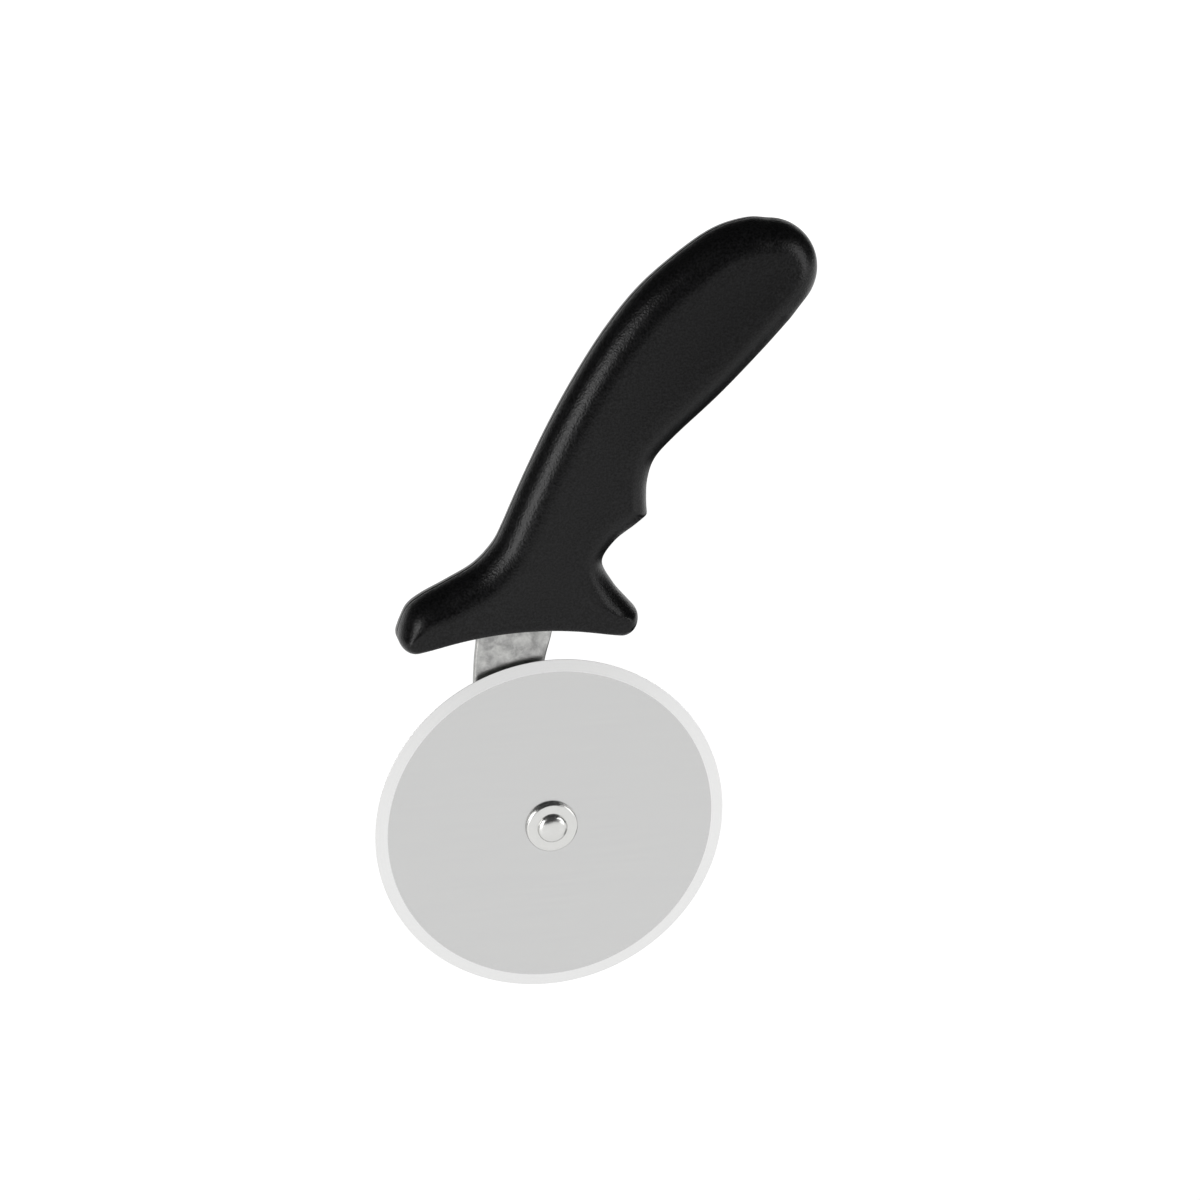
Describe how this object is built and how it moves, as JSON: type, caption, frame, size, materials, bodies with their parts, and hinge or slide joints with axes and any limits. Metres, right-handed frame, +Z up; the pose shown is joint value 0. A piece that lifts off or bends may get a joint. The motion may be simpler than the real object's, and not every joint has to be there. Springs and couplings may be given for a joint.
{
  "type": "pizza cutter",
  "caption": "Hand-held pizza cutter: a bevelled steel wheel turning on a domed rivet at the end of a one-sided steel arm, with a black moulded handle, finger notch and guard.",
  "frame": {"origin": "middle of the grip, inside the handle, halfway between its front and back panels", "axes": "+Z up from the wheel towards the butt of the handle; +X to the side of the finger notch; +Y along the wheel's axle, from the rivet's head to its tail"},
  "size_m": [0.1264, 0.018, 0.224],
  "materials": {
    "black_plastic": "moulded, fine satin texture",
    "tumbled_steel": "stamped and barrel-tumbled, mottled satin",
    "blade_steel": "rolled stainless, fine even satin, ground bevel",
    "bright_steel": "polished, nickel bright"
  },
  "bodies": {
    "handle": {"handle_front_shell": "black_plastic", "handle_rear_shell": "black_plastic", "arm": "tumbled_steel", "axle_rivet": "bright_steel", "head_washer": "bright_steel", "hub_bush": "bright_steel", "spacer_washer": "bright_steel", "tail_washer": "bright_steel"},
    "wheel": {"wheel_blade": "blade_steel"}
  },
  "joints": [
    {"name": "wheel_spin", "type": "hinge", "parent": "handle", "child": "wheel", "pos_m": [-0.03021, -0.0032, -0.13127], "axis": [0, 1, 0], "continuous": true}
  ]
}
